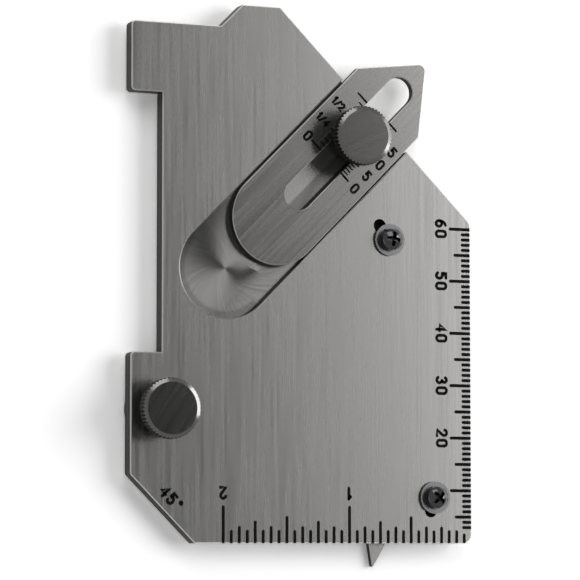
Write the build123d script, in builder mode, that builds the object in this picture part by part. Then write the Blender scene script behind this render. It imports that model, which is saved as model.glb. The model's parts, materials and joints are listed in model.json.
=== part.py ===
from build123d import *
import os
from math import atan2, cos, degrees, hypot, radians, sin, sqrt, tan

os.makedirs("parts", exist_ok=True)

# Frame: the origin is on the cam's pivot axis, in the plane that the gauge lies on.
# +X runs from the bridging feet to the ruler edge, +Y from the base edge to the crown,
# +Z out of the front face.

# Plate outline
plate_width = 69.0
plate_height = 100.6
plate_thickness = 3.2
foot_depth = 6.1
lower_foot_length = 35.0
bridge_span = 48.2
upper_foot_length = 13.1
crown_inset = 17.75
slope_height = 61.2
slope_angle = 45.0
base_chamfer = 12.6
foot_corner_radius = 0.8
ruler_corner_radius = 1.8
edge_break = 0.2

# Pivot of the cam, measured from the feet and from the base edge
pivot_from_feet = 6.1
pivot_from_base = 24.5

# Cam, a sector with a pointed horn, and the curved strip round it
cam_thickness = 1.2
cam_tip_angle = -33.75
cam_sector_angle = 90.0
cam_hub_radius = 5.8
cam_tip_radius = 0.12
cam_corner_radius = 2.5
horn_angle = 47.0
horn_length = 17.0
horn_root_radius = 11.0
cam_clearance = 0.3
strip_width = 7.2
strip_from_ruler_edge = 3.05
strip_start_angle = -23.5
strip_end_angle = 43.5
strip_end_radius = 1.0

# Groove across the front face, square to the 45 degree edge
groove_from_slope_end = 28.1
groove_depth = 1.6
groove_length = 42.7

# Throat slider
slider_thickness = 1.6
slider_width = 17.85
slider_side_clearance = 0.425
slider_shift = -0.1
slider_length = 52.6
slider_reach = 15.0
slider_tip_angle = 77.0
slider_tip_radius = 1.2
slot_clearance = 0.225
slot_from_tail = 15.25
slot_from_nose = 8.05
slider_edge_break = 0.15

# Clamp screws and their bushes
clamp_from_slope = 6.6
thread_diameter = 3.9
thread_clearance = 0.05
collar_diameter = 8.0
collar_height = 3.3
knob_diameter = 11.2
knob_band = 2.1
knob_bevel_width = 0.8
knob_bevel_height = 0.3
knob_under_bevel = 0.3
knurl_count = 48
knurl_width = 0.4
bush_flange_diameter = 8.4
bush_flange_height = 0.6
press_gap = 0.01
cam_barrel_diameter = 6.5
running_clearance = 0.05
clamp_gap = 0.2
bush_floor = 0.6
guide_diameter = 5.2
screw_end_gap = 0.3

# Small screws through the plate into the strip
upper_screw_from_cam = 4.05
upper_screw_angle = 35.7
upper_screw_travel = 3.3
upper_recess_turn = -8.0
lower_screw_from_cam = 4.95
lower_screw_angle = -16.05
lower_screw_travel = 1.8
lower_recess_turn = 44.0
adjusting_slot_width = 2.5
adjusting_slot_travel = 4.4
arc_thread_diameter = 2.2
washer_diameter = 6.1
washer_hole = 2.6
washer_thickness = 0.5
lock_washer_diameter = 4.4
lock_washer_hole = 2.4
lock_washer_thickness = 0.5
lock_washer_split = 0.4
head_diameter = 4.1
head_rim = 0.7
head_height = 1.6
recess_width = 0.85
recess_length = 3.0
recess_depth = 0.9
recess_taper = 18.0

# Heights above the plane that the gauge lies on
plate_back = cam_thickness
plate_front = plate_back + plate_thickness
groove_floor = plate_front - groove_depth
slider_face = groove_floor + slider_thickness

# The slider runs in the groove, and its slot runs round the bush's guide
groove_width = slider_width + 2 * slider_side_clearance
slot_width = guide_diameter + 2 * slot_clearance

# Plate edges in the gauge's frame
feet_x = -pivot_from_feet
ruler_x = feet_x + plate_width
bridge_x = feet_x + foot_depth
base_y = -pivot_from_base
crown_y = base_y + plate_height
lower_foot_y = base_y + lower_foot_length
upper_foot_y = lower_foot_y + bridge_span
foot_top_y = upper_foot_y + upper_foot_length
slope_y = base_y + slope_height
crown_rise = crown_y - foot_top_y
slope_top_x = ruler_x - (crown_y - slope_y) / tan(radians(slope_angle))

# The cam fills what the strip leaves of the plate's width
strip_outer_radius = ruler_x - strip_from_ruler_edge
strip_inner_radius = strip_outer_radius - strip_width
cam_radius = strip_inner_radius - cam_clearance


def polar(radius, angle):
    """Point at a radius and an angle in degrees about the cam's pivot."""
    return (radius * cos(radians(angle)), radius * sin(radians(angle)))


def slider_plane(height, across=0.0):
    """Plane whose x runs out along the slider from the sloping edge, and whose y runs up that edge."""
    edge_x = -cos(radians(slope_angle))
    edge_y = sin(radians(slope_angle))
    along_edge = groove_from_slope_end + across
    x = ruler_x + along_edge * edge_x
    y = slope_y + along_edge * edge_y
    return Plane(origin=(x, y, height), x_dir=(edge_y, -edge_x, 0), z_dir=(0, 0, 1))


# Clamp screw axis and the seats of the two small screws, whose slots run round the cam's pivot
clamp_seat = slider_plane(slider_face)
clamp_origin = clamp_seat.from_local_coords((-clamp_from_slope, 0, 0))
clamp_x = clamp_origin.X
clamp_y = clamp_origin.Y
pivot_hole_diameter = cam_barrel_diameter + 2 * running_clearance
flange_recess_diameter = bush_flange_diameter + 2 * press_gap
upper_screw = polar(cam_radius + upper_screw_from_cam, upper_screw_angle)
lower_screw = polar(cam_radius + lower_screw_from_cam, lower_screw_angle)
arc_screws = {
    "upper": (*upper_screw, upper_screw_angle + 90, upper_screw_travel, upper_recess_turn),
    "lower": (*lower_screw, lower_screw_angle + 90, lower_screw_travel, lower_recess_turn),
}

# Body plate: blank, bridging gap, groove, pivot bore and adjusting slots
with BuildPart() as body_plate:
    with BuildSketch(Plane.XY.offset(plate_back)) as blank:
        with BuildLine():
            Polyline(
                (feet_x + base_chamfer, base_y),
                (ruler_x, base_y),
                (ruler_x, slope_y),
                (slope_top_x, crown_y),
                (feet_x + crown_inset + crown_rise, crown_y),
                (feet_x + crown_inset, foot_top_y),
                (feet_x, foot_top_y),
                (feet_x, upper_foot_y),
                (bridge_x, upper_foot_y),
                (bridge_x, lower_foot_y),
                (feet_x, lower_foot_y),
                (feet_x, base_y + base_chamfer),
                close=True,
            )
        make_face()
        fillet(blank.vertices().group_by(Axis.X)[0], foot_corner_radius)
        fillet(blank.vertices().group_by(Axis.X)[-1], ruler_corner_radius)
    extrude(amount=plate_thickness)
    with BuildSketch(slider_plane(plate_front)):
        with Locations((-groove_length, 0)):
            Circle(groove_width / 2)
        with Locations(((groove_width - groove_length) / 2, 0)):
            Rectangle(groove_length + groove_width, groove_width)
    extrude(amount=-groove_depth, mode=Mode.SUBTRACT)
    with BuildSketch(Plane.XY.offset(plate_back)):
        Circle(pivot_hole_diameter / 2)
        with Locations((clamp_x, clamp_y)):
            Circle(guide_diameter / 2 + press_gap)
        for screw_x, screw_y, direction, travel, turn in arc_screws.values():
            middle = Vector(travel - adjusting_slot_travel / 2, 0).rotate(Axis.Z, direction)
            with Locations((screw_x + middle.X, screw_y + middle.Y)):
                SlotCenterToCenter(adjusting_slot_travel, adjusting_slot_width, rotation=direction)
    extrude(amount=plate_thickness, mode=Mode.SUBTRACT)
    with BuildSketch(Plane.XY.offset(plate_back)):
        with Locations((clamp_x, clamp_y)):
            Circle(flange_recess_diameter / 2)
    extrude(amount=bush_flange_height, mode=Mode.SUBTRACT)
    for face in (body_plate.faces().sort_by(Axis.Z)[-1], body_plate.faces().sort_by(Axis.Z)[0]):
        chamfer(face.outer_wire().edges(), edge_break)

# Throat slider: round tail, pointed nose, long slot
tail_x = slider_reach - slider_length
tail_centre_x = tail_x + slider_width / 2
slot_length = slider_length - slot_from_tail - slot_from_nose
shoulder_x = slider_reach - slider_width / 2 / tan(radians(slider_tip_angle / 2))
slot_centre_x = tail_x + slot_from_tail + slot_length / 2
with BuildPart() as throat_slider:
    with BuildSketch(slider_plane(groove_floor, slider_shift)) as slider_shape:
        with BuildLine():
            nose = Polyline(
                (tail_centre_x, -slider_width / 2),
                (shoulder_x, -slider_width / 2),
                (slider_reach, 0),
                (shoulder_x, slider_width / 2),
                (tail_centre_x, slider_width / 2),
            )
            ThreePointArc(nose @ 1, (tail_x, 0), nose @ 0)
        make_face()
        fillet(slider_shape.vertices().sort_by(Axis.X)[-1], slider_tip_radius)
        with Locations((slot_centre_x, 0)):
            SlotCenterToCenter(slot_length, slot_width, mode=Mode.SUBTRACT)
    extrude(amount=slider_thickness)
    chamfer(throat_slider.faces().sort_by(Axis.Z)[-1].edges(), slider_edge_break)

# Cam: hub, ninety degree sector edge and a horn whose point does the measuring
tip_x, tip_y = polar(cam_radius, cam_tip_angle)
end_x, end_y = polar(cam_radius, cam_tip_angle + cam_sector_angle)
middle_x, middle_y = polar(cam_radius, cam_tip_angle + cam_sector_angle / 2)
horn_heading = cam_tip_angle + 180 - horn_angle
knee_x = tip_x + horn_length * cos(radians(horn_heading))
knee_y = tip_y + horn_length * sin(radians(horn_heading))


def hub_touch(x, y, side):
    """Point where the line from (x, y) touches the hub's circle; side is +1 or -1 for its two tangents."""
    distance = hypot(x, y)
    turn = degrees(atan2(sqrt(distance**2 - cam_hub_radius**2), cam_hub_radius))
    return polar(cam_hub_radius, degrees(atan2(y, x)) + side * turn)


with BuildPart() as cam_arm:
    with BuildSketch() as cam_shape:
        with BuildLine():
            Line(hub_touch(knee_x, knee_y, -1), (knee_x, knee_y))
            Line((knee_x, knee_y), (tip_x, tip_y))
            ThreePointArc((tip_x, tip_y), (middle_x, middle_y), (end_x, end_y))
            Line((end_x, end_y), hub_touch(end_x, end_y, 1))
            Line(hub_touch(end_x, end_y, 1), hub_touch(knee_x, knee_y, -1))
        make_face()
        fillet(cam_shape.vertices().sort_by_distance((knee_x, knee_y))[0], horn_root_radius)
        fillet(cam_shape.vertices().sort_by_distance((end_x, end_y))[0], cam_corner_radius)
        fillet(cam_shape.vertices().sort_by_distance((tip_x, tip_y))[0], cam_tip_radius)
        Circle(cam_hub_radius)
        Circle(cam_barrel_diameter / 2 + press_gap, mode=Mode.SUBTRACT)
    extrude(amount=cam_thickness)
    with BuildSketch():
        Circle(flange_recess_diameter / 2)
    extrude(amount=bush_flange_height, mode=Mode.SUBTRACT)

# Curved strip round the cam, tapped for the two small screws
strip_sweep = strip_end_angle - strip_start_angle
with BuildPart() as arc_strip:
    with BuildSketch() as strip_shape:
        with BuildLine():
            inner = CenterArc((0, 0), strip_inner_radius, strip_start_angle, strip_sweep)
            outer = CenterArc((0, 0), strip_outer_radius, strip_start_angle, strip_sweep)
            Line(inner @ 0, outer @ 0)
            Line(inner @ 1, outer @ 1)
        make_face()
        fillet(strip_shape.vertices(), strip_end_radius)
        for screw_x, screw_y, direction, travel, turn in arc_screws.values():
            with Locations((screw_x, screw_y)):
                Circle(arc_thread_diameter / 2 + press_gap, mode=Mode.SUBTRACT)
    extrude(amount=cam_thickness)

# Threaded pivot bush: flange flush with the cam's underside, barrel turning in the plate, closed below
with BuildPart() as cam_bush:
    with BuildSketch():
        Circle(bush_flange_diameter / 2)
    extrude(amount=bush_flange_height)
    with BuildSketch():
        Circle(cam_barrel_diameter / 2)
    extrude(amount=plate_front - clamp_gap)
    with BuildSketch(Plane.XY.offset(bush_floor)):
        Circle(thread_diameter / 2 + thread_clearance)
    extrude(amount=plate_front, mode=Mode.SUBTRACT)

# Threaded slider bush: flange flush with the plate's back, barrel standing up through the slot
with BuildPart() as slider_bush:
    with BuildSketch(Plane(origin=(clamp_x, clamp_y, plate_back))):
        Circle(bush_flange_diameter / 2)
    extrude(amount=bush_flange_height)
    with BuildSketch(Plane(origin=(clamp_x, clamp_y, plate_back))):
        Circle(guide_diameter / 2)
    extrude(amount=slider_face - clamp_gap - plate_back)
    with BuildSketch(Plane(origin=(clamp_x, clamp_y, plate_back))):
        Circle(thread_diameter / 2 + thread_clearance)
    extrude(amount=plate_thickness, mode=Mode.SUBTRACT)


# Knurled clamp screws: collar and knurled band above the seat, plain shank in the bush below it
rim_radius = knob_diameter / 2
band_top = collar_height + knob_band
thumb_screws = {
    "slider_thumb_screw": (clamp_x, clamp_y, slider_face, slider_face - plate_back - screw_end_gap),
    "cam_thumb_screw": (0, 0, plate_front, plate_front - bush_floor - screw_end_gap),
}
for name, (x, y, seat_height, shank_length) in thumb_screws.items():
    with BuildPart() as thumb_screw:
        with BuildSketch(Plane(origin=(x, y, seat_height), x_dir=(1, 0, 0), z_dir=(0, -1, 0))):
            with BuildLine():
                Polyline(
                    (0, -shank_length),
                    (thread_diameter / 2, -shank_length),
                    (thread_diameter / 2, 0),
                    (collar_diameter / 2, 0),
                    (collar_diameter / 2, collar_height),
                    (rim_radius - knob_under_bevel, collar_height),
                    (rim_radius, collar_height + knob_under_bevel),
                    (rim_radius, band_top),
                    (rim_radius - knob_bevel_width, band_top + knob_bevel_height),
                    (0, band_top + knob_bevel_height),
                    close=True,
                )
            make_face()
        revolve(axis=Axis((x, y, 0), (0, 0, 1)))
        with BuildSketch(Plane(origin=(x, y, seat_height + collar_height))):
            with PolarLocations(rim_radius, knurl_count):
                Rectangle(knurl_width, knurl_width, rotation=45)
        extrude(amount=knob_band + knob_bevel_height, mode=Mode.SUBTRACT)
    thumb_screw.part.label = name
    export_step(thumb_screw.part, f"parts/{name}.step")

# Small screws, each with its flat washer over the adjusting slot and a split ring under the head
washer_top = plate_front + washer_thickness
under_head = washer_top + lock_washer_thickness
dome_rise = head_height - head_rim
dome_radius = ((head_diameter / 2) ** 2 + dome_rise**2) / (2 * dome_rise)
for name, (x, y, direction, travel, turn) in arc_screws.items():
    with BuildPart() as flat_washer:
        with BuildSketch(Plane(origin=(x, y, plate_front))):
            Circle(washer_diameter / 2)
            Circle(washer_hole / 2, mode=Mode.SUBTRACT)
        extrude(amount=washer_thickness)
    flat_washer.part.label = f"{name}_flat_washer"
    export_step(flat_washer.part, f"parts/{name}_flat_washer.step")

    with BuildPart() as lock_washer:
        with BuildSketch(Plane(origin=(x, y, washer_top))):
            Circle(lock_washer_diameter / 2)
            Circle(lock_washer_hole / 2, mode=Mode.SUBTRACT)
            with PolarLocations(lock_washer_diameter / 2, 1, start_angle=direction):
                Rectangle(lock_washer_diameter, lock_washer_split, rotation=20, mode=Mode.SUBTRACT)
        extrude(amount=lock_washer_thickness)
    lock_washer.part.label = f"{name}_lock_washer"
    export_step(lock_washer.part, f"parts/{name}_lock_washer.step")

    with BuildPart() as arc_screw:
        with BuildSketch(Plane(origin=(x, y, 0), x_dir=(1, 0, 0), z_dir=(0, -1, 0))):
            with BuildLine():
                profile = Polyline(
                    (0, under_head + head_height),
                    (0, 0),
                    (arc_thread_diameter / 2, 0),
                    (arc_thread_diameter / 2, under_head),
                    (head_diameter / 2, under_head),
                    (head_diameter / 2, under_head + head_rim),
                )
                RadiusArc(profile @ 1, profile @ 0, -dome_radius)
            make_face()
        revolve(axis=Axis((x, y, 0), (0, 0, 1)))
        with BuildSketch(Plane(origin=(x, y, under_head + head_height))):
            Rectangle(recess_length, recess_width, rotation=turn)
            Rectangle(recess_width, recess_length, rotation=turn)
        extrude(amount=-recess_depth, taper=recess_taper, mode=Mode.SUBTRACT)
    arc_screw.part.label = f"{name}_arc_screw"
    export_step(arc_screw.part, f"parts/{name}_arc_screw.step")

body_plate.part.label = "body_plate"
throat_slider.part.label = "throat_slider"
cam_arm.part.label = "cam_arm"
arc_strip.part.label = "arc_strip"
cam_bush.part.label = "cam_bush"
slider_bush.part.label = "slider_bush"
for piece in (body_plate, throat_slider, cam_arm, arc_strip, cam_bush, slider_bush):
    export_step(piece.part, f"parts/{piece.part.label}.step")
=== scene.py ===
"""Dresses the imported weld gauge: ground and turned steel, filled graduations and numbers, a plain studio."""

import json
import math

import bmesh
import bpy
from mathutils import Matrix, Vector

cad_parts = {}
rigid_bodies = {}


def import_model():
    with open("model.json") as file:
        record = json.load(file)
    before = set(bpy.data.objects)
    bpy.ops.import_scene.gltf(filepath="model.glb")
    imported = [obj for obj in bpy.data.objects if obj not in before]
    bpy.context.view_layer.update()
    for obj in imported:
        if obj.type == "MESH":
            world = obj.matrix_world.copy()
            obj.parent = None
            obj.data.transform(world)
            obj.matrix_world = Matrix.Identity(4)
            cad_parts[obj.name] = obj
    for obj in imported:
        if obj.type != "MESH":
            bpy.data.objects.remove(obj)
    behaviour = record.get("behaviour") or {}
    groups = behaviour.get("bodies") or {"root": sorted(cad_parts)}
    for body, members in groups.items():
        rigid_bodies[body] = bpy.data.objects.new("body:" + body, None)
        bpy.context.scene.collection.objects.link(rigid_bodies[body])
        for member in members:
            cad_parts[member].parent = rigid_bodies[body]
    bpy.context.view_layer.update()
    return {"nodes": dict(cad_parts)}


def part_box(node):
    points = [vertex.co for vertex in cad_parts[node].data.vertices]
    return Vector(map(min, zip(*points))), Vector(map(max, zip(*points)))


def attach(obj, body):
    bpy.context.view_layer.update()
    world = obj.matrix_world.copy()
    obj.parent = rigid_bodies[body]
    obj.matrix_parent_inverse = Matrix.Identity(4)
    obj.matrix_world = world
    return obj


bl_info = {
    "name": "Weld Gauge Dressing",
    "version": (1, 0, 0),
    "blender": (4, 5, 0),
    "location": "3D View > Sidebar > Weld Gauge",
    "description": "Finishes, graduations and studio for a flat steel weld gauge",
    "category": "Object",
}

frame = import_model()
MM = 0.001
INCH = 25.4 * MM
HALF_TURN = math.pi
QUARTER_TURN = math.pi / 2
DIAGONAL = math.radians(45)
PLATE_LOW, PLATE_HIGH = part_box("body_plate")
SLIDER_LOW, SLIDER_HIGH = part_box("throat_slider")
STRIP_LOW, STRIP_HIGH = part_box("arc_strip")
CAM_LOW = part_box("cam_arm")[0]
CLAMP_LOW, CLAMP_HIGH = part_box("slider_thumb_screw")
CLAMP_CENTRE = (CLAMP_LOW + CLAMP_HIGH) / 2

# Camera: place in metres and turn in degrees, fitted to the rulers' graduations
CAMERA_PLACE = (-0.19355, -0.02554, 0.53074)
CAMERA_TURN = (4.8524, -22.5875, -0.0324)

# Lamps: name, compass angle, height angle, and the setting and the share of it that give the power
LAMPS = (
    ("key", 10, 44, "key_power", 1.0),
    ("low_right", 12, 20, "low_power", 1.0),
    ("low_left", 200, 15, "low_power", 0.2),
    ("fill_top", 98, 43, "fill_power", 1.0),
)
LAMP_DISTANCE = 0.8
FLOOR_REACH = 3.0
# The floor lies a hair under the gauge, so that the two never share a plane
FLOOR_LEVEL = -0.03 * MM
# Towards the middle of the dark screen, and the angle over which it fades into the room
SCREEN_HEADING = (0.34, 0.05, 0.94)
SCREEN_FADE = math.radians(8)

# Where one pass of the cutter fades into the next, across the groove's floor from its middle
SECOND_PASS = {"From Min": -2.6 * MM, "From Max": -5.8 * MM}
# The band and the line under the slot are painted shade for the passes' different sheen
BAND_NEAR = {"From Min": -5.0 * MM, "From Max": -4.7 * MM}
BAND_FAR = {"From Min": -8.0 * MM, "From Max": -5.5 * MM}
SLOT_LINE = {"From Min": -0.5 * MM, "From Max": -0.1 * MM}
# The painted shade along the groove's wall begins, and is full, this far in from the wall
CORNER_START = 1.3 * MM
CORNER_FULL = 0.7 * MM
# The straight passes take over within this length past the swirl
SWIRL_FADE = 2.0 * MM
# A point this near the level of the groove's floor is on it
FLOOR_GAP = 0.05 * MM
# Painted shade of the pass under the slider's slot, beside the band's
PAINTED_SLOT_SHADE = 0.72

# Upright part of a normal: a wall's below the first, a flat face's above the second
WALL_LEVELS = {"From Min": 0.3, "From Max": 0.6}
# How far a broken edge's may be off
EDGE_NEAR = 0.05
# The streaks' share beside the fine lines, and the noise from a deep line to a high one
STREAK_SHARE = 0.35
LINE_RANGE = {"From Min": 0.3, "From Max": 0.7}
# A high line is lighter by this part of a deep one's darkness, and blurred less
HIGH_LINE = 0.8
DEEP_BLUR = 0.05
HIGH_BLUR = -0.04
WALL_BLUR = 0.5

# A stroke's corner sharper than this cosine isn't widened to its point
MITRE_LIMIT = 0.5
# A graduation's toe covers this part of the broken edge
TOE_SHARE = 0.95


# Sizes and colours that a user would change

class FinishSettings(bpy.types.PropertyGroup):
    """Steel colours, the widths and shades of the grinding and milling marks, and painted shade and highlights.
    """

    plate_colour: bpy.props.StringProperty(
        name="Plate steel", description="sRGB colour of the stainless plate", default="#b0afad")
    slider_colour: bpy.props.StringProperty(
        name="Slider steel", description="sRGB colour of the slider", default="#a09f9d")
    # Both knobs' colours are painted shade, darker than the plate's steel, the cam's knob darker still
    knob_colour: bpy.props.StringProperty(
        name="Knob steel", description="sRGB colour of the slider's clamp screw", default="#787776")
    cam_knob_colour: bpy.props.StringProperty(
        name="Cam knob steel", description="sRGB colour of the cam's clamp screw", default="#686766")
    # Both plating colours are painted shade, the screws' darker than the washers'
    screw_colour: bpy.props.StringProperty(
        name="Screw plating", description="sRGB colour of the bright small screws", default="#6c6c6e")
    washer_colour: bpy.props.StringProperty(
        name="Washer plating", description="sRGB colour of the washers under them", default="#98989a")
    ink_colour: bpy.props.StringProperty(
        name="Graduation fill", description="sRGB colour of the fill in the marks", default="#0c0c0d")
    grain_width: bpy.props.FloatProperty(
        name="Grain width", description="Width of one grinding line, drawn coarse so that it shows",
        default=0.42 * MM, unit="LENGTH")
    grain_length: bpy.props.FloatProperty(
        name="Grain length", description="Length of one grinding line", default=16.0 * MM, unit="LENGTH")
    streak_width: bpy.props.FloatProperty(
        name="Streak width", description="Width of the broader grey streaks", default=0.8 * MM, unit="LENGTH")
    streak_length: bpy.props.FloatProperty(
        name="Streak length", description="Length of the broader grey streaks", default=40.0 * MM,
        unit="LENGTH")
    streak_depth: bpy.props.FloatProperty(
        name="Streak depth", description="How much darker a deep line looks", default=0.14, subtype="FACTOR")
    roughness: bpy.props.FloatProperty(
        name="Roughness", description="Blur of the ground faces", default=0.25, subtype="FACTOR")
    sheen_stretch: bpy.props.FloatProperty(
        name="Sheen stretch", description="How far the sheen is drawn out across the lines", default=0.6,
        subtype="FACTOR")
    groove_roughness: bpy.props.FloatProperty(
        name="Groove roughness", description="Blur of the milled groove floor", default=0.26, subtype="FACTOR")
    groove_stretch: bpy.props.FloatProperty(
        name="Groove stretch", description="How far the sheen is drawn out across the cutter's sweeps",
        default=0.9, subtype="FACTOR")
    groove_reach: bpy.props.FloatProperty(
        name="Groove reach", description="From the clamp's axis back to the point where the cutter stopped",
        default=35.9 * MM, unit="LENGTH")
    groove_half_width: bpy.props.FloatProperty(
        name="Groove half width", description="From the middle of the groove to its wall", default=9.0 * MM,
        unit="LENGTH")
    swirl_radius: bpy.props.FloatProperty(
        name="Swirl radius", description="Reach of the cutter's sweeps on the groove floor", default=12.0 * MM,
        unit="LENGTH")
    sweep_width: bpy.props.FloatProperty(
        name="Sweep width", description="Width of one sweep of the cutter", default=0.4 * MM, unit="LENGTH")
    sweep_lean: bpy.props.FloatProperty(
        name="Sweep lean", description="How far a sweep leans in from a true circle",
        default=math.radians(69), subtype="ANGLE")
    sweep_bend: bpy.props.FloatProperty(
        name="Sweep bend", description="How much more a sweep follows a circle at the swirl's reach",
        default=math.radians(50), subtype="ANGLE")
    # Painted shade of the band where two milled passes meet
    pass_shade: bpy.props.FloatProperty(
        name="Pass shade", description="Shade of the groove floor where two passes meet", default=0.9,
        subtype="FACTOR")
    # Painted shade that darkens the whole milled groove floor
    groove_tone: bpy.props.FloatProperty(
        name="Groove tone", description="Shade of the groove floor beside the ground faces", default=0.88,
        subtype="FACTOR")
    # Painted shade of the groove floor's corner along its wall
    corner_shade: bpy.props.FloatProperty(
        name="Corner shade", description="Shade of the groove floor along its wall", default=0.72,
        subtype="FACTOR")
    # The broken edges' pale colour is a painted highlight, where a filed edge catches the light
    edge_colour: bpy.props.StringProperty(
        name="Broken edge", description="sRGB colour of the filed edges", default="#e8e7e5")
    # The chamfer's paler colour is a painted highlight beside its real glint
    chamfer_colour: bpy.props.StringProperty(
        name="Knob chamfer", description="sRGB colour of the polished chamfer round a knob", default="#918f8e")


class MarkSettings(bpy.types.PropertyGroup):
    """Sizes of the filled graduations and of the plain numbers beside them."""

    line_width: bpy.props.FloatProperty(
        name="Line width", description="Width of a graduation", default=0.6 * MM, unit="LENGTH")
    fine_line_width: bpy.props.FloatProperty(
        name="Fine line width", description="Width of a graduation on the slider", default=0.3 * MM,
        unit="LENGTH")
    pen_width: bpy.props.FloatProperty(
        name="Pen width", description="Stroke width of a number", default=0.58 * MM, unit="LENGTH")
    number_height: bpy.props.FloatProperty(
        name="Number height", description="Height of a ruler number", default=2.6 * MM, unit="LENGTH")
    slider_number_height: bpy.props.FloatProperty(
        name="Slider number height", description="Height of a number on the slider", default=2.3 * MM,
        unit="LENGTH")
    degree_number_height: bpy.props.FloatProperty(
        name="Degree number height", description="Height of a number on the back of the strip",
        default=1.9 * MM, unit="LENGTH")
    edge_break: bpy.props.FloatProperty(
        name="Edge break", description="Width of the filed edge that a graduation runs down", default=0.2 * MM,
        unit="LENGTH")
    strip_width: bpy.props.FloatProperty(
        name="Strip width", description="Width of the curved strip that carries the degrees", default=7.2 * MM,
        unit="LENGTH")
    fill_rise: bpy.props.FloatProperty(
        name="Fill rise", description="How far the fill stands out of its groove", default=0.012 * MM,
        unit="LENGTH")
    fill_depth: bpy.props.FloatProperty(
        name="Fill depth", description="Depth of the engraved groove", default=0.1 * MM, unit="LENGTH")


class StudioSettings(bpy.types.PropertyGroup):
    """Floor, light and camera."""

    floor_colour: bpy.props.StringProperty(
        name="Floor", description="sRGB colour of the floor", default="#f4f4f4")
    floor_glow: bpy.props.FloatProperty(
        name="Floor glow", description="How much paler the floor looks to the camera than its light makes it",
        default=2.2)
    key_power: bpy.props.FloatProperty(
        name="Key light", description="Power of the soft light at the right", default=1.7, unit="POWER")
    low_power: bpy.props.FloatProperty(
        name="Low light", description="Power of the low light at the right; the left one has a part of it",
        default=0.9, unit="POWER")
    fill_power: bpy.props.FloatProperty(
        name="Fill light", description="Power of the fill light towards the crown", default=0.9, unit="POWER")
    lamp_size: bpy.props.FloatProperty(
        name="Lamp size", description="Side of each square light", default=0.5, unit="LENGTH")
    room_light: bpy.props.FloatProperty(
        name="Room light", description="Strength of the pale room round the table", default=0.3)
    screen_light: bpy.props.FloatProperty(
        name="Screen light", description="Strength of the dark screen hung above it", default=0.03)
    screen_reach: bpy.props.FloatProperty(
        name="Screen reach", description="Half the angle that the dark screen covers", default=math.radians(15),
        subtype="ANGLE")
    lens: bpy.props.FloatProperty(
        name="Lens", description="Focal length for a 36 mm wide frame", default=189.87)


# Shared helpers for marks

def in_scene(name, data):
    """New object of a mesh, camera or lamp, put in the scene."""
    thing = bpy.data.objects.new(name, data)
    bpy.context.scene.collection.objects.link(thing)
    return thing


def compass(angle):
    """Unit step in the plate's plane at an angle from +X."""
    return Vector((math.cos(angle), math.sin(angle)))


def stroke_outline(points, width, square_start=False):
    """Closed outline of a pen stroke along the points, with round ends; its start may be cut square."""
    half = width / 2
    left = []
    right = []
    last = len(points) - 1
    for i, point in enumerate(points):
        before = points[max(i - 1, 0)]
        after = points[min(i + 1, last)]
        along = (after - before).normalized()
        if 0 < i < last:
            turn = (point - before).normalized().dot(along)
            reach = half / max(turn, MITRE_LIMIT)
        else:
            reach = half
        side = Vector((-along.y, along.x)) * reach
        left.append(point + side)
        right.append(point - side)
    outline = list(left)
    outline += round_end(points[last], points[last] - points[last - 1], half)
    outline += reversed(right)
    if not square_start:
        outline += round_end(points[0], points[0] - points[1], half)
    return outline


def round_end(centre, heading, radius, steps=8):
    """Points of a half circle round a stroke's end, from its left side to its right side."""
    start = math.atan2(heading.y, heading.x) + QUARTER_TURN
    angles = [start - HALF_TURN * k / steps for k in range(1, steps)]
    return [centre + radius * compass(angle) for angle in angles]


def ring_outlines(points, width):
    """Outer and inner outline of a closed pen stroke."""
    count = len(points)
    outer = []
    inner = []
    for i, point in enumerate(points):
        along = (points[(i + 1) % count] - points[i - 1]).normalized()
        side = Vector((along.y, -along.x)) * width / 2
        outer.append(point + side)
        inner.append(point - side)
    return outer, inner


def add_prism(bm, outline, low, high):
    """Closed straight-sided solid on an outline, between two heights."""
    count = len(outline)
    bottom = [bm.verts.new((p.x, p.y, low)) for p in outline]
    top = [bm.verts.new((p.x, p.y, high)) for p in outline]
    bm.faces.new(top)
    bm.faces.new(list(reversed(bottom)))
    for i in range(count):
        j = (i + 1) % count
        bm.faces.new((bottom[i], bottom[j], top[j], top[i]))


def add_ring(bm, points, width, low, high):
    """Closed solid of a pen stroke that joins its own start."""
    outer, inner = ring_outlines(points, width)
    count = len(points)
    rings = [
        [bm.verts.new((p.x, p.y, height)) for p in line]
        for line, height in ((outer, low), (outer, high), (inner, high), (inner, low))
    ]
    for k in range(4):
        first = rings[k]
        second = rings[(k + 1) % 4]
        for i in range(count):
            j = (i + 1) % count
            bm.faces.new((first[i], first[j], second[j], second[i]))


def add_toe(bm, width, toe, low, high):
    """Closed solid that carries a graduation down over the broken edge, at forty-five degrees."""
    corners = [
        bm.verts.new((-drop, side * width / 2, level - drop))
        for drop in (0.0, toe) for side in (-1, 1) for level in (low, high)
    ]
    for face in ((0, 1, 3, 2), (4, 6, 7, 5), (0, 4, 5, 1), (2, 3, 7, 6), (1, 5, 7, 3), (0, 2, 6, 4)):
        bm.faces.new([corners[k] for k in face])


def arc(cx, cy, rx, ry, start, end, steps=14):
    """Points of an elliptical arc in a number's unit box, angles in degrees."""
    angles = [math.radians(start + (end - start) * k / steps) for k in range(steps + 1)]
    return [(cx + rx * math.cos(angle), cy + ry * math.sin(angle)) for angle in angles]


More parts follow.
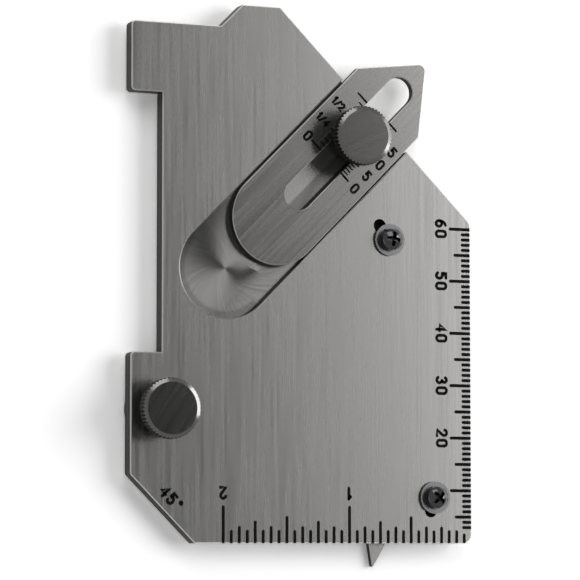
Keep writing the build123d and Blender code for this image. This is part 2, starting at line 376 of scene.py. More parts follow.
# Strokes of each figure in a box one wide and one high, as (closed, points)
FIGURES = {
    "0": [(True, arc(0.5, 0.73, 0.5, 0.27, 0, 180)[:-1] + [(0.0, 0.73)] + arc(0.5, 0.27, 0.5, 0.27, 180, 360))],
    "1": [(False, [(0.62, 0.0), (0.62, 1.0)]), (False, [(0.62, 0.98), (0.3, 0.78)])],
    "2": [(False, arc(0.5, 0.74, 0.48, 0.26, 165, -38) + [(0.03, 0.0), (1.0, 0.0)])],
    "3": [(False, arc(0.46, 0.765, 0.42, 0.235, 150, -75)), (False, arc(0.46, 0.27, 0.5, 0.27, 80, -150))],
    "4": [(False, [(0.76, 0.0), (0.76, 1.0), (0.0, 0.32), (1.0, 0.32)])],
    "5": [(False, [(0.92, 1.0), (0.14, 1.0), (0.06, 0.54)] + arc(0.47, 0.32, 0.5, 0.32, 128, -152))],
    "6": [(True, arc(0.5, 0.3, 0.5, 0.3, 0, 360)[:-1]), (False, arc(1.02, 0.32, 1.02, 0.68, 178, 104))],
    "/": [(False, [(0.0, 0.0), (0.8, 1.0)])],
    "o": [(True, arc(0.3, 0.9, 0.2, 0.1, 0, 360, 12)[:-1])],
}
# A figure's width beside its height, and the gap between two beside it
FIGURE_WIDTH = 0.54
FIGURE_GAP = 0.12


def add_number(bm, text, centre, turn, height, pen, low, high, step=None, side=1):
    """Plain figures centred on a point and turned; a fraction has its own closer step, a back face side -1."""
    tall = height - pen
    wide = tall * FIGURE_WIDTH
    step = step or wide + pen + height * FIGURE_GAP
    start = -step * (len(text) - 1) / 2 - wide / 2
    turned = Matrix.Rotation(turn, 2)
    for place, figure in enumerate(text):
        for closed, points in FIGURES[figure]:
            line = []
            for x, y in points:
                flat = Vector((side * (start + place * step + x * wide), (y - 0.5) * tall))
                line.append(turned @ flat + Vector(centre))
            if closed:
                add_ring(bm, line, pen, low, high)
            else:
                add_prism(bm, stroke_outline(line, pen), low, high)


def plate_number(bm, text, centre, turn):
    """A ruler number cut into the plate's face."""
    marks = bpy.context.scene.gauge_marks
    add_number(bm, text, centre, turn, marks.number_height, marks.pen_width,
               PLATE_HIGH.z - marks.fill_depth, PLATE_HIGH.z + marks.fill_rise)


def closed_mesh(name, bm):
    """Mesh of the collected solids, with every face pointing outwards."""
    bmesh.ops.recalc_face_normals(bm, faces=bm.faces)
    mesh = bpy.data.meshes.new(name)
    bm.to_mesh(mesh)
    bm.free()
    return mesh


def finish_marks(name, bm, body):
    """Turns the collected numbers into one filled piece that rides on a body."""
    mesh = closed_mesh(name, bm)
    mesh.materials.append(black_fill())
    piece = in_scene(name, mesh)
    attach(piece, body)


def rank_of(k, steps):
    """Rank of a graduation: how many of the steps it falls on, each of which makes it longer."""
    return sum(k % step == 0 for step in steps)


# Node helper and colours

# Kinds of node that come back over and over
MATH = "ShaderNodeMath"
VECTOR_MATH = "ShaderNodeVectorMath"
MAP_RANGE = "ShaderNodeMapRange"
NOISE = "ShaderNodeTexNoise"
PRINCIPLED = "ShaderNodeBsdfPrincipled"
# A Mix node's A and B go by number: 2 and 3 for numbers, 4 and 5 for directions, 6 and 7 for colours
MIX = "ShaderNodeMix"
NUMBERS = {"data_type": "FLOAT"}
DIRECTIONS = {"data_type": "VECTOR"}
COLOURS = {"data_type": "RGBA"}


def linear(hex_colour):
    """Linear RGBA of an sRGB hex colour."""
    channels = [int(hex_colour[i:i + 2], 16) / 255 for i in (1, 3, 5)]
    return [c / 12.92 if c <= 0.04045 else ((c + 0.055) / 1.055) ** 2.4 for c in channels] + [1.0]


def shade(colour, factor):
    """A linear colour made lighter or darker."""
    return [c * factor for c in colour[:3]] + [1.0]


def add(tree, kind, settings=None, inputs=None):
    """Adds a node with its settings; an input takes a value, a socket, or a node for its first live output."""
    node = tree.nodes.new(kind)
    for name, value in (settings or {}).items():
        setattr(node, name, value)
    for key, value in (inputs or {}).items():
        if isinstance(value, bpy.types.Node):
            value = next(socket for socket in value.outputs if socket.enabled)
        if isinstance(value, bpy.types.NodeSocket):
            tree.links.new(value, node.inputs[key])
        else:
            node.inputs[key].default_value = value
    return node


def empty_tree(owner):
    """Node tree of a new material or world, with nothing in it."""
    owner.use_nodes = True
    owner.node_tree.nodes.clear()
    return owner.node_tree


def new_material(name):
    """Node material, its tree, and the piece's own coordinates in it."""
    material = bpy.data.materials.new(name)
    tree = empty_tree(material)
    return material, tree, add(tree, "ShaderNodeTexCoord").outputs["Object"]


def flatness(tree):
    """One on a flat face, nought on a wall: the upright part of the normal."""
    normal = add(tree, "ShaderNodeSeparateXYZ", None, {0: add(tree, "ShaderNodeNewGeometry").outputs["Normal"]})
    return add(tree, MATH, {"operation": "ABSOLUTE"}, {0: normal.outputs["Z"]})


def ground_marks(tree, place, turn, finish):
    """Fine grinding lines and broader streaks along a piece's own Y, turned by an angle, and the way across."""
    # A real grinding line is some hundredths of a millimetre wide; ten times coarser, it shows
    marks = []
    for width, length in (
            (finish.grain_width, finish.grain_length), (finish.streak_width, finish.streak_length)):
        drawn_out = add(tree, "ShaderNodeMapping", {"vector_type": "TEXTURE"}, {
            "Vector": place, "Rotation": (0, 0, turn), "Scale": (width, length, width)})
        marks.append(add(tree, NOISE, None, {
            "Vector": drawn_out, "Scale": 1.0, "Detail": 0.5, "Roughness": 0.5}))
    return marks[0], marks[1], compass(turn).to_3d()


def milled_marks(tree, place, fine, streak, across, finish):
    """Adds the cutter's sweeps and passes in the groove to the plate's ground lines, and the painted shade of
    its floor.
    """
    along_groove = compass(DIAGONAL).to_3d()
    across_groove = Vector((-along_groove.y, along_groove.x, 0.0))
    centre = Vector((CLAMP_CENTRE.x, CLAMP_CENTRE.y, SLIDER_LOW.z)) - along_groove * finish.groove_reach
    from_centre = add(tree, VECTOR_MATH, {"operation": "SUBTRACT"}, {0: place, 1: centre})
    parts = add(tree, "ShaderNodeSeparateXYZ", None, {0: from_centre})
    off_floor = add(tree, MATH, {"operation": "ABSOLUTE"}, {0: parts.outputs["Z"]})
    on_floor = add(tree, MATH, {"operation": "LESS_THAN"}, {0: off_floor, 1: FLOOR_GAP})
    sideways = add(tree, VECTOR_MATH, {"operation": "DOT_PRODUCT"}, {
        0: from_centre, 1: across_groove}).outputs["Value"]
    along = add(tree, VECTOR_MATH, {"operation": "DOT_PRODUCT"}, {
        0: from_centre, 1: along_groove}).outputs["Value"]
    beyond = add(tree, MAP_RANGE, None, {
        "Value": along, "From Min": finish.swirl_radius, "From Max": finish.swirl_radius + SWIRL_FADE})

    # Where the cutter stopped, its sweeps spiral out of one point, at one angle to the line from it
    lean = math.tan(QUARTER_TURN - finish.sweep_lean)
    angle = add(tree, MATH, {"operation": "ARCTAN2"}, {0: parts.outputs["Y"], 1: parts.outputs["X"]})
    radius = add(tree, VECTOR_MATH, {"operation": "LENGTH"}, {0: from_centre}).outputs["Value"]
    growth = add(tree, MATH, {"operation": "LOGARITHM"}, {0: radius, 1: math.e})
    sweep = add(tree, MATH, {"operation": "MULTIPLY_ADD"}, {0: growth, 1: -lean, 2: angle})
    sweep_place = add(tree, "ShaderNodeCombineXYZ", None, {
        0: add(tree, MATH, {"operation": "COSINE"}, {0: sweep}),
        1: add(tree, MATH, {"operation": "SINE"}, {0: sweep})})
    sweeps = add(tree, NOISE, None, {
        "Vector": sweep_place, "Scale": finish.swirl_radius / 2 / finish.sweep_width, "Detail": 2.0})

    # The sheen across them turns towards the line outwards as the radius grows
    outwards = add(tree, VECTOR_MATH, {"operation": "NORMALIZE"}, {0: from_centre})
    leaning = add(tree, MAP_RANGE, None, {
        "Value": radius, "From Max": finish.swirl_radius, "To Min": -finish.sweep_lean,
        "To Max": finish.sweep_bend - finish.sweep_lean})
    swept = add(tree, "ShaderNodeVectorRotate", {"rotation_type": "Z_AXIS"}, {
        "Vector": outwards, "Angle": leaning})
    second_pass = add(tree, MAP_RANGE, None, {"Value": sideways, **SECOND_PASS})
    plain = add(tree, MATH, {"operation": "MAXIMUM"}, {0: beyond, 1: second_pass})

    # A sweep looks the same from both ends, so the passes blend by the shorter way round, without a hard line
    facing = add(tree, VECTOR_MATH, {"operation": "DOT_PRODUCT"}, {0: swept, 1: along_groove})
    same_way = add(tree, MATH, {"operation": "SIGN"}, {0: facing})
    straight = add(tree, VECTOR_MATH, {"operation": "SCALE"}, {0: along_groove, "Scale": same_way})
    direction = add(tree, MIX, DIRECTIONS, {0: plain, 4: swept, 5: straight})
    fine = add(tree, MIX, NUMBERS, {0: on_floor, 2: fine, 3: sweeps})
    streak = add(tree, MIX, NUMBERS, {0: on_floor, 2: streak, 3: sweeps})
    across = add(tree, MIX, DIRECTIONS, {0: on_floor, 4: across, 5: direction})

    # Painted shade stands in for the passes' different sheen: where two side by side meet, a darker band,
    # nearer the middle under the slider's slot
    near = add(tree, MAP_RANGE, None, {"Value": sideways, **BAND_NEAR, "To Min": finish.pass_shade})
    far = add(tree, MAP_RANGE, None, {
        "Value": sideways, **BAND_FAR, "To Min": 1.0, "To Max": finish.pass_shade})
    band = add(tree, MATH, {"operation": "MAXIMUM"}, {0: near, 1: far})
    under_slot = add(tree, MAP_RANGE, None, {
        "Value": sideways, **SLOT_LINE, "To Min": finish.pass_shade * PAINTED_SLOT_SHADE,
        "To Max": 1 / finish.groove_tone})
    passes = add(tree, MIX, NUMBERS, {0: beyond, 2: band, 3: under_slot})

    # A strip along the wall of the round end is darkened by painted shade, where shade falls in the floor's
    # corner
    corner = add(tree, MAP_RANGE, None, {
        "Value": radius, "From Min": finish.groove_half_width - CORNER_START,
        "From Max": finish.groove_half_width - CORNER_FULL, "To Min": 1.0, "To Max": finish.corner_shade})
    round_end_only = add(tree, MATH, {"operation": "GREATER_THAN"}, {0: along, 1: 0.0})
    corner = add(tree, MATH, {"operation": "MAXIMUM"}, {0: corner, 1: round_end_only})
    passes = add(tree, MATH, {"operation": "MULTIPLY"}, {0: passes, 1: corner})
    # The whole groove floor is darkened by painted shade
    passes = add(tree, MATH, {"operation": "MULTIPLY"}, {0: passes, 1: finish.groove_tone})
    painted_floor_shade = add(tree, MIX, NUMBERS, {0: on_floor, 2: 1.0, 3: passes})
    return fine, streak, across, painted_floor_shade, on_floor


def brushed_steel(name, hex_colour, edge_highlight_hex, turn, groove=False,
                  painted_wall_shade=0.12, edge_blur=0.5, edge_tilt=DIAGONAL):
    """Stainless steel with fine lines: a soft sheen drawn out across them, and grey streaks along them."""
    finish = bpy.context.scene.gauge_finish
    material, tree, place = new_material(name)
    colour = linear(hex_colour)
    fine, streak, across = ground_marks(tree, place, turn, finish)
    if groove:
        fine, streak, across, painted_floor_shade, on_floor = milled_marks(tree, place, fine, streak, across, finish)

    # Walls are sawn or milled plain, without the lines, and darkened by painted shade; the broken edges between
    # are filed, with a painted highlight
    level = flatness(tree)
    walls = add(tree, MAP_RANGE, None, {"Value": level, **WALL_LEVELS, "To Min": 1.0, "To Max": 0.0})
    edges = add(tree, MATH, {"operation": "COMPARE"}, {0: level, 1: math.cos(edge_tilt), 2: EDGE_NEAR})

    broad = add(tree, MATH, {"operation": "MULTIPLY"}, {0: streak, 1: STREAK_SHARE})
    both = add(tree, MATH, {"operation": "MULTIPLY_ADD"}, {0: fine, 1: 1 - STREAK_SHARE, 2: broad})
    tone = add(tree, MAP_RANGE, None, {"Value": both, **LINE_RANGE})
    face = add(tree, MIX, COLOURS, {
        0: tone, 6: shade(colour, 1 - finish.streak_depth),
        7: shade(colour, 1 + finish.streak_depth * HIGH_LINE)})
    if groove:
        # The groove floor's painted shade darkens its colour
        face = add(tree, MIX, COLOURS, {0: painted_floor_shade, 6: (0, 0, 0, 1), 7: face})
    # Broken edges take a pale painted highlight
    face = add(tree, MIX, COLOURS, {0: edges, 6: face, 7: linear(edge_highlight_hex)})
    # Walls take a painted shade, darker than the faces
    painted = add(tree, MIX, COLOURS, {0: walls, 6: face, 7: shade(colour, painted_wall_shade)})
    rough = add(tree, MIX, NUMBERS, {
        0: tone, 2: finish.roughness + DEEP_BLUR, 3: finish.roughness + HIGH_BLUR})
    rough = add(tree, MIX, NUMBERS, {0: walls, 2: rough, 3: WALL_BLUR})
    rough = add(tree, MIX, NUMBERS, {0: edges, 2: rough, 3: edge_blur})
    drawn_out = add(tree, MIX, DIRECTIONS, {0: walls, 4: across, 5: (0.0, 0.0, 1.0)})
    tangent = add(tree, "ShaderNodeVectorTransform", {
        "vector_type": "VECTOR", "convert_from": "OBJECT", "convert_to": "WORLD"}, {"Vector": drawn_out})
    shader = add(tree, PRINCIPLED, None, {
        "Base Color": painted, "Roughness": rough, "Tangent": tangent, "Metallic": 1.0,
        "Anisotropic": finish.sheen_stretch})
    if groove:
        milled = add(tree, PRINCIPLED, None, {
            "Base Color": painted, "Roughness": finish.groove_roughness, "Tangent": tangent, "Metallic": 1.0,
            "Anisotropic": finish.groove_stretch})
        shader = add(tree, "ShaderNodeMixShader", None, {0: on_floor, 1: shader, 2: milled})
    add(tree, "ShaderNodeOutputMaterial", None, {"Surface": shader})
    return material


def black_fill():
    """Black enamel in every engraved mark, made once."""
    found = bpy.data.materials.get("black_enamel_fill")
    if found:
        return found
    # Satin enamel wiped into an engraved groove: soft black without a highlight, a little thinner in places
    material, tree, place = new_material("black_enamel_fill")
    colour = linear(bpy.context.scene.gauge_finish.ink_colour)
    cloud = add(tree, NOISE, None, {"Vector": place, "Scale": 1 / (0.4 * MM), "Detail": 2.0})
    uneven = add(tree, MIX, COLOURS, {0: cloud, 6: shade(colour, 0.6), 7: shade(colour, 1.8)})
    shader = add(tree, PRINCIPLED, None, {
        "Base Color": uneven, "Roughness": 0.7, "Specular IOR Level": 0.12})
    add(tree, "ShaderNodeOutputMaterial", None, {"Surface": shader})
    return material


def put_on(node, material):
    """Gives a CAD node its finish."""
    frame["nodes"][node].data.materials.clear()
    frame["nodes"][node].data.materials.append(material)


# Graduations by Geometry Nodes

def tick_shapes(name, sizes, low, high, toe):
    """Collection of graduation shapes, one for each length and width, lying along +X from the origin."""
    shapes = bpy.data.collections.new(name)
    for rank, (length, width) in enumerate(sizes):
        bm = bmesh.new()
        line = [Vector((0.0, 0.0)), Vector((length - width / 2, 0.0))]
        add_prism(bm, stroke_outline(line, width, square_start=True), low, high)
        if toe:
            add_toe(bm, width, toe, low, high)
        shapes.objects.link(bpy.data.objects.new(f"{name}_{rank}", closed_mesh(f"{name}_{rank}", bm)))
    return shapes


def tick_tree():
    """Geometry Nodes tree: puts the graduation of each point's rank on it, turned to its heading."""
    tree = bpy.data.node_groups.new("graduations", "GeometryNodeTree")
    for name, way, kind in (
            ("Points", "INPUT", "Geometry"), ("Shapes", "INPUT", "Collection"),
            ("Fill", "INPUT", "Material"), ("Marks", "OUTPUT", "Geometry")):
        tree.interface.new_socket(name, in_out=way, socket_type=f"NodeSocket{kind}")
    given = add(tree, "NodeGroupInput")
    rank = add(tree, "GeometryNodeInputNamedAttribute", {"data_type": "INT"}, {"Name": "rank"})
    heading = add(tree, "GeometryNodeInputNamedAttribute", {"data_type": "FLOAT"}, {"Name": "heading"})
    turn = add(tree, "ShaderNodeCombineXYZ", None, {"Z": heading.outputs["Attribute"]})
    shapes = add(tree, "GeometryNodeCollectionInfo", None, {
        "Collection": given.outputs["Shapes"], "Separate Children": True, "Reset Children": True})
    placed = add(tree, "GeometryNodeInstanceOnPoints", None, {
        "Points": given.outputs["Points"], "Instance": shapes.outputs[0], "Pick Instance": True,
        "Instance Index": rank.outputs["Attribute"], "Rotation": turn.outputs[0]})
    real = add(tree, "GeometryNodeRealizeInstances", None, {"Geometry": placed.outputs[0]})
    painted = add(tree, "GeometryNodeSetMaterial", None, {
        "Geometry": real.outputs[0], "Material": given.outputs["Fill"]})
    add(tree, "NodeGroupOutput", None, {0: painted.outputs[0]})
    return tree


def graduations(name, places, sizes, body, height, up=True, toe=0.0):
    """One ruler's graduations as a plain mesh; places are (x, y, heading, rank) in metres and radians."""
    marks = bpy.context.scene.gauge_marks
    low, high = (-marks.fill_depth, marks.fill_rise) if up else (-marks.fill_rise, marks.fill_depth)
    shapes = tick_shapes(f"{name}_shape", sizes, low, high, toe)
    points = bpy.data.meshes.new(f"{name}_points")
    points.from_pydata([(x, y, height) for x, y, heading, rank in places], [], [])
    points.attributes.new("heading", "FLOAT", "POINT").data.foreach_set("value", [p[2] for p in places])
    points.attributes.new("rank", "INT", "POINT").data.foreach_set("value", [p[3] for p in places])
    carrier = in_scene(f"{name}_carrier", points)
    tree = bpy.data.node_groups.get("graduations") or tick_tree()
    modifier = carrier.modifiers.new("graduations", "NODES")
    modifier.node_group = tree
    sockets = {item.name: item.identifier for item in tree.interface.items_tree if item.in_out == "INPUT"}
    modifier[sockets["Shapes"]] = shapes
    modifier[sockets["Fill"]] = black_fill()
    settled = carrier.evaluated_get(bpy.context.evaluated_depsgraph_get())
    mesh = bpy.data.meshes.new_from_object(settled)
    mesh.name = name
    bpy.data.objects.remove(carrier)
    for shape in list(shapes.objects):
        bpy.data.objects.remove(shape)
    bpy.data.collections.remove(shapes)
    piece = in_scene(name, mesh)
    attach(piece, body)


# Operators

class GAUGE_OT_camera(bpy.types.Operator):
    """Put the camera where the photograph was taken from"""

    bl_idname = "gauge.camera"
    bl_label = "Camera"

    def execute(self, context):
        data = bpy.data.cameras.new("camera")
        data.sensor_width = 36.0
        data.lens = context.scene.gauge_studio.lens
        data.clip_end = 10.0
        camera = in_scene("camera", data)
        camera.location = CAMERA_PLACE
        camera.rotation_euler = [math.radians(angle) for angle in CAMERA_TURN]
        context.scene.camera = camera
        return {"FINISHED"}


class GAUGE_OT_studio(bpy.types.Operator):
    """Lay the pale floor and hang the soft lights"""

    bl_idname = "gauge.studio"
    bl_label = "Studio"

    def execute(self, context):
        studio = context.scene.gauge_studio
        mesh = bpy.data.meshes.new("floor")
        corners = [
            (x * FLOOR_REACH, y * FLOOR_REACH, FLOOR_LEVEL) for x, y in ((-1, -1), (1, -1), (1, 1), (-1, 1))
        ]
        mesh.from_pydata(corners, [], [(0, 1, 2, 3)])
        # Matt white paper: even and without gloss, it only takes the gauge's soft shadow
        material = bpy.data.materials.new("white_paper_floor")
        tree = empty_tree(material)
        paper = linear(studio.floor_colour)
        path = add(tree, "ShaderNodeLightPath")
        looked_at = add(tree, MATH, {"operation": "MAXIMUM"}, {
            0: path.outputs["Is Camera Ray"], 1: path.outputs["Is Transmission Ray"]})
        seen = add(tree, MATH, {"operation": "MAXIMUM"}, {0: looked_at, 1: path.outputs["Is Glossy Ray"]})
        colour = add(tree, MIX, COLOURS, {0: seen, 6: paper, 7: shade(paper, studio.floor_glow)})
        diffuse = add(tree, "ShaderNodeBsdfDiffuse", None, {"Color": colour})
        add(tree, "ShaderNodeOutputMaterial", None, {"Surface": diffuse})
        mesh.materials.append(material)
        floor = in_scene("floor", mesh)

        for name, azimuth, elevation, setting, share in LAMPS:
            power = getattr(studio, setting) * share
            self.hang(name, math.radians(azimuth), math.radians(elevation), power, studio.lamp_size)
        world = bpy.data.worlds.new("room")
        context.scene.world = world
        tree = empty_tree(world)
        path = add(tree, "ShaderNodeLightPath")
        # A dark screen hangs a little right of straight up, where the ground faces mirror it
        heading = add(tree, VECTOR_MATH, {"operation": "DOT_PRODUCT"}, {
            0: add(tree, "ShaderNodeTexCoord").outputs["Generated"], 1: SCREEN_HEADING})
        room = add(tree, MAP_RANGE, None, {
            "Value": heading.outputs["Value"], "From Min": math.cos(studio.screen_reach + SCREEN_FADE),
            "From Max": math.cos(studio.screen_reach), "To Min": studio.room_light,
            "To Max": studio.screen_light})
        strength = add(tree, MIX, NUMBERS, {0: path.outputs["Is Camera Ray"], 2: room, 3: 1.0})
        back = add(tree, "ShaderNodeBackground", None, {"Color": (1, 1, 1, 1), "Strength": strength})
        add(tree, "ShaderNodeOutputWorld", None, {"Surface": back})
        context.scene.view_settings.view_transform = "Standard"
        return {"FINISHED"}

    def hang(self, name, azimuth, elevation, power, size):
        """Square soft light that looks at the middle of the gauge from a compass angle and a height angle."""
        data = bpy.data.lights.new(name, "AREA")
        data.size = size
        data.energy = power
        lamp = in_scene(name, data)
        away = Vector((*(compass(azimuth) * math.cos(elevation)), math.sin(elevation)))
        lamp.location = (PLATE_LOW + PLATE_HIGH) / 2 + away * LAMP_DISTANCE
        lamp.rotation_euler = away.to_track_quat("Z", "Y").to_euler()


class GAUGE_OT_plate_finish(bpy.types.Operator):
    """Grind the body plate lengthwise and mark its groove floor with the cutter"""

    bl_idname = "gauge.plate_finish"
    bl_label = "Plate finish"

    def execute(self, context):
        finish = context.scene.gauge_finish
        # Belt-ground stainless: fine lines run lengthwise, and the grey pales across them towards the light.
        # The groove's floor is end-milled, so light and dark fans turn round the point where the cutter stopped
        put_on("body_plate", brushed_steel(
            "ground_stainless_plate", finish.plate_colour, finish.edge_colour, 0.0, groove=True))
        return {"FINISHED"}


class GAUGE_OT_slider_finish(bpy.types.Operator):
    """Grind the throat slider along its length"""

    bl_idname = "gauge.slider_finish"
    bl_label = "Slider finish"

    def execute(self, context):
        finish = context.scene.gauge_finish
        # Belt-ground stainless with its lines along the slider, so its grey differs from the plate's beside it
        put_on("throat_slider", brushed_steel(
            "ground_stainless_slider", finish.slider_colour, finish.edge_colour, -DIAGONAL))
        return {"FINISHED"}


class GAUGE_OT_cam_finish(bpy.types.Operator):
    """Grind the pointer cam and the curved strip behind the plate"""

    bl_idname = "gauge.cam_finish"
    bl_label = "Cam and strip finish"

    def execute(self, context):
        finish = context.scene.gauge_finish
        # Belt-ground stainless like the plate's; each part's lines keep their own way, which sets them apart
        put_on("cam_arm", brushed_steel(
            "ground_stainless_cam", finish.plate_colour, finish.edge_colour, math.radians(10)))
        put_on("arc_strip", brushed_steel(
            "ground_stainless_strip", finish.slider_colour, finish.edge_colour, 0.0))
        return {"FINISHED"}


class GAUGE_OT_knob_finish(bpy.types.Operator):
    """Turn the knurled clamp screws and their bushes"""

    bl_idname = "gauge.knob_finish"
    bl_label = "Knob finish"

    def execute(self, context):
        finish = context.scene.gauge_finish
        # Turned stainless, its colour darkened by painted shade, with a polished chamfer that glints, paler by
        # a painted highlight, round a knurl darkened by painted shade
        chamfer_tilt = math.atan2(0.3, 0.8)  # its depth over its width
        for node, colour, turn in (
                ("slider_thumb_screw", finish.knob_colour, -65),
                ("cam_thumb_screw", finish.cam_knob_colour, -33),
                ("cam_bush", finish.knob_colour, 0), ("slider_bush", finish.knob_colour, 0)):
            put_on(node, brushed_steel(
                f"turned_stainless_{node}", colour, finish.chamfer_colour, math.radians(turn),
                painted_wall_shade=0.26, edge_blur=0.14, edge_tilt=chamfer_tilt))
        return {"FINISHED"}


class GAUGE_OT_fastener_finish(bpy.types.Operator):
    """Plate the small screws and their washers"""

    bl_idname = "gauge.fastener_finish"
    bl_label = "Fastener finish"

    def execute(self, context):
        finish = context.scene.gauge_finish
        # Bright nickel plating, its colour darkened by painted shade, the screws' more than the washers': dark
        # where it mirrors the dim room, with small pale glints of the lamps
        screw = self.plated("bright_nickel_screw", finish.screw_colour, smooth=0.05, rough=0.12)
        washer = self.plated("bright_nickel_washer", finish.washer_colour, smooth=0.2, rough=0.34)
        for end in ("upper", "lower"):
            put_on(f"{end}_arc_screw", screw)
            for kind in ("flat_washer", "lock_washer"):
                put_on(f"{end}_{kind}", washer)
        return {"FINISHED"}

    def plated(self, name, hex_colour, smooth, rough):
        """Nickel over turned steel, smooth to rough in soft clouds, with painted shade on its steep faces and
        in the driver's recess.
        """
        material, tree, place = new_material(name)
        colour = linear(hex_colour)
        cloud = add(tree, NOISE, None, {"Vector": place, "Scale": 1 / (0.6 * MM), "Detail": 3.0})
        tint = add(tree, MIX, COLOURS, {0: cloud, 6: shade(colour, 0.9), 7: colour})
        # Steep faces, the recess's walls among them, take a painted shade
        walls = add(tree, MATH, {"operation": "LESS_THAN"}, {0: flatness(tree), 1: 0.5})
        tint = add(tree, MIX, COLOURS, {0: walls, 6: tint, 7: shade(colour, 0.12)})
        blur = add(tree, MIX, NUMBERS, {0: cloud, 2: smooth, 3: rough})
        shader = add(tree, PRINCIPLED, None, {"Base Color": tint, "Roughness": blur, "Metallic": 1.0})
        add(tree, "ShaderNodeOutputMaterial", None, {"Surface": shader})
        return material


class GAUGE_OT_millimetre_ruler(bpy.types.Operator):
    """Mark the ruler edge in millimetres, with a number at every ten"""

    bl_idname = "gauge.millimetre_ruler"
    bl_label = "Millimetre ruler"

    first: bpy.props.IntProperty(name="First", description="First graduation", default=3)
    last: bpy.props.IntProperty(name="Last", description="Last graduation", default=60)

    def execute(self, context):
        marks = context.scene.gauge_marks
        edge = PLATE_HIGH.x - marks.edge_break
        number_line = PLATE_HIGH.x - 6.2 * MM
        places = [
            (edge, PLATE_LOW.y + k * MM, HALF_TURN, rank_of(k, (5, 10)))
            for k in range(self.first, self.last + 1)
        ]
        sizes = [(length * MM, marks.line_width) for length in (1.8, 3.35, 4.35)]
        graduations("millimetre_ticks", places, sizes, "gauge", PLATE_HIGH.z, toe=marks.edge_break * TOE_SHARE)
        # The first ten has no number, because the lower screw stands there
        bm = bmesh.new()
        for k in range(20, self.last + 1, 10):
            plate_number(bm, str(k), (number_line, PLATE_LOW.y + k * MM), -QUARTER_TURN)
        finish_marks("millimetre_numbers", bm, "gauge")
        return {"FINISHED"}


class GAUGE_OT_inch_ruler(bpy.types.Operator):
    """Mark the base edge in sixteenths of an inch, with a number at each inch"""

    bl_idname = "gauge.inch_ruler"
    bl_label = "Inch ruler"

    def execute(self, context):
        marks = context.scene.gauge_marks
        zero = PLATE_HIGH.x
        edge = PLATE_LOW.y + marks.edge_break
        number_line = PLATE_LOW.y + 9.3 * MM
        sizes = [(length * MM, marks.line_width) for length in (1.7, 2.3, 3.0, 4.0, 4.9, 6.8)]
        places = []
        for k in range(1, 33):
            # The marks nearest the corner are a size shorter, because the other ruler's run into them
            rank = rank_of(k, (2, 4, 8, 16)) + (k not in (1, 2, 4))
            places.append((zero - k * INCH / 16, edge, QUARTER_TURN, rank))
        graduations("inch_ticks", places, sizes, "gauge", PLATE_HIGH.z, toe=marks.edge_break * TOE_SHARE)
        bm = bmesh.new()
        for k in (1, 2):
            plate_number(bm, str(k), (zero - k * INCH, number_line), HALF_TURN)
        finish_marks("inch_numbers", bm, "gauge")
        return {"FINISHED"}


class GAUGE_OT_bevel_label(bpy.types.Operator):
    """Write the angle beside the cut corner"""

    bl_idname = "gauge.bevel_label"
    bl_label = "Bevel label"

    def execute(self, context):
        inset = 8.1 * MM
        bm = bmesh.new()
        plate_number(bm, "45o", (PLATE_LOW.x + inset, PLATE_LOW.y + inset), math.radians(-47))
        finish_marks("bevel_label", bm, "gauge")
        return {"FINISHED"}


def on_slider(along, across):
    """Point on the slider's face, from the clamp's axis along the slider and across it, in millimetres."""
    out = compass(DIAGONAL)
    side = Vector((-out.y, out.x))
    return CLAMP_CENTRE.xy + out * along * MM + side * across * MM


class GAUGE_OT_slider_scale(bpy.types.Operator):
    """Mark both sides of the slider's slot: throat in millimetres below, in inches above"""

    bl_idname = "gauge.slider_scale"
    bl_label = "Slider scale"

    def execute(self, context):
        marks = context.scene.gauge_marks
        # Both scales begin at this place along the slider, which runs at 45 degrees and so shortens a throat
        zero = -6.45
        throat = math.cos(DIAGONAL)
        sixteenth = throat * 25.4 / 16
        lower_row, upper_row = -2.95, 2.85
        places = []
        for k in range(21):
            spot = on_slider(zero + k * throat, lower_row)
            places.append((spot.x, spot.y, -DIAGONAL, rank_of(k, (5, 20))))
        for k in range(13):
            spot = on_slider(zero + k * sixteenth, upper_row)
            rank = 3 if k in (0, 12) else rank_of(k, (4,))
            places.append((spot.x, spot.y, HALF_TURN - DIAGONAL, rank))
        fine = marks.fine_line_width
        bold = fine * 1.4
        sizes = ((1.25 * MM, fine), (1.7 * MM, fine), (2.25 * MM, bold), (2.7 * MM, bold))
        graduations("slider_ticks", places, sizes, "slider", SLIDER_HIGH.z)
        bm = bmesh.new()
        low = SLIDER_HIGH.z - marks.fill_depth
        high = SLIDER_HIGH.z + marks.fill_rise
        tall = marks.slider_number_height
        pen = marks.pen_width * 0.85
        for text, along, across in (
                ("0", 0, -6.97), ("5", 5 * throat, -6.97), ("10", 10 * throat, -6.5), ("15", 15 * throat, -6.5),
                ("0", 0, 6.6)):
            add_number(bm, text, on_slider(zero + along, across), -DIAGONAL, tall, pen, low, high)
        # The fractions are smaller and closer set
        for text, along in (("1/4", 4 * sixteenth), ("1/2", 8 * sixteenth)):
            add_number(bm, text, on_slider(zero + along, 6.8), -DIAGONAL, tall * 0.8, pen * 0.95, low, high,
                       step=0.98 * MM)
        finish_marks("slider_numbers", bm, "slider")
        return {"FINISHED"}


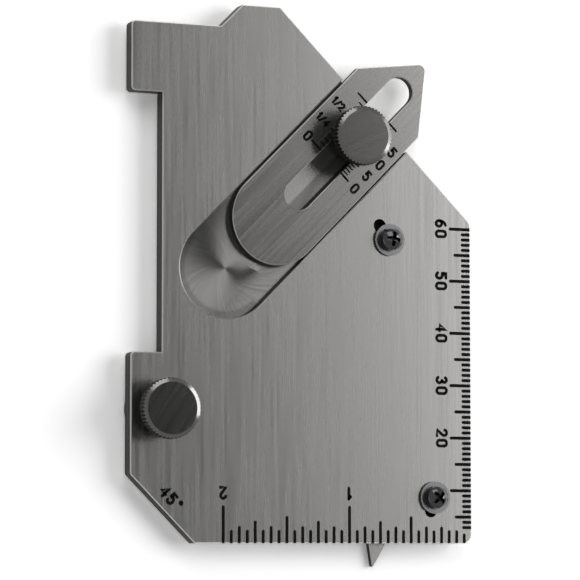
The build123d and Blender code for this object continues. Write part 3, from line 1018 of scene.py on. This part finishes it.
class GAUGE_OT_strip_scale(bpy.types.Operator):
    """Mark the strip's back in degrees of bevel, and the cam's rim with the index that reads them"""

    bl_idname = "gauge.strip_scale"
    bl_label = "Strip scale"

    zero: bpy.props.FloatProperty(
        name="Zero", description="Direction of the zero from the pivot", default=math.radians(40),
        subtype="ANGLE")
    index: bpy.props.FloatProperty(
        name="Index", description="Direction of the cam's index at rest", default=math.radians(34),
        subtype="ANGLE")
    last: bpy.props.IntProperty(name="Last", description="Last degree", default=60)

    def execute(self, context):
        marks = context.scene.gauge_marks
        inner = STRIP_HIGH.x - marks.strip_width
        tick_foot = inner + 0.15 * MM
        number_line = inner + 4.9 * MM
        index_foot = inner - 0.5 * MM
        fine = marks.fine_line_width
        places = []
        bm = bmesh.new()
        for k in range(self.last + 1):
            angle = self.zero - math.radians(k)
            out = compass(angle)
            foot = out * tick_foot
            places.append((foot.x, foot.y, angle, rank_of(k, (5, 10))))
            if k % 10 == 0:
                add_number(bm, str(k), out * number_line, angle - QUARTER_TURN,
                           marks.degree_number_height, marks.pen_width * 0.65,
                           STRIP_LOW.z - marks.fill_rise, STRIP_LOW.z + marks.fill_depth, side=-1)
        sizes = [(length * MM, fine) for length in (1.5, 2.2, 2.9)]
        graduations("degree_ticks", places, sizes, "gauge", STRIP_LOW.z, up=False)
        finish_marks("degree_numbers", bm, "gauge")
        rim = compass(self.index) * index_foot
        graduations("cam_index", [(rim.x, rim.y, self.index + HALF_TURN, 0)], [(3.2 * MM, fine * 1.35)], "cam",
                    CAM_LOW.z, up=False)
        return {"FINISHED"}


class GAUGE_PT_panel(bpy.types.Panel):
    """Lists the steps of dressing the gauge"""

    bl_label = "Weld Gauge"
    bl_idname = "GAUGE_PT_panel"
    bl_space_type = "VIEW_3D"
    bl_region_type = "UI"
    bl_category = "Weld Gauge"

    def draw(self, context):
        for group in GROUPS:
            settings = getattr(context.scene, group)
            for name in settings.__annotations__:
                self.layout.prop(settings, name)
        for operator in OPERATORS:
            self.layout.operator(operator.bl_idname)


OPERATORS = (
    GAUGE_OT_camera,
    GAUGE_OT_studio,
    GAUGE_OT_plate_finish,
    GAUGE_OT_slider_finish,
    GAUGE_OT_cam_finish,
    GAUGE_OT_knob_finish,
    GAUGE_OT_fastener_finish,
    GAUGE_OT_millimetre_ruler,
    GAUGE_OT_inch_ruler,
    GAUGE_OT_bevel_label,
    GAUGE_OT_slider_scale,
    GAUGE_OT_strip_scale,
)
GROUPS = {"gauge_finish": FinishSettings, "gauge_marks": MarkSettings, "gauge_studio": StudioSettings}


def register():
    """Register the settings, the steps and the panel."""
    for name, group in GROUPS.items():
        bpy.utils.register_class(group)
        setattr(bpy.types.Scene, name, bpy.props.PointerProperty(type=group))
    for operator in OPERATORS:
        bpy.utils.register_class(operator)
    bpy.utils.register_class(GAUGE_PT_panel)


def unregister():
    """Take everything out again."""
    bpy.utils.unregister_class(GAUGE_PT_panel)
    for operator in reversed(OPERATORS):
        bpy.utils.unregister_class(operator)
    for name, group in GROUPS.items():
        delattr(bpy.types.Scene, name)
        bpy.utils.unregister_class(group)


def main():
    """Dress the gauge step by step."""
    register()
    for operator in OPERATORS:
        group, step = operator.bl_idname.split(".")
        getattr(getattr(bpy.ops, group), step)()


if __name__ == "__main__":
    main()
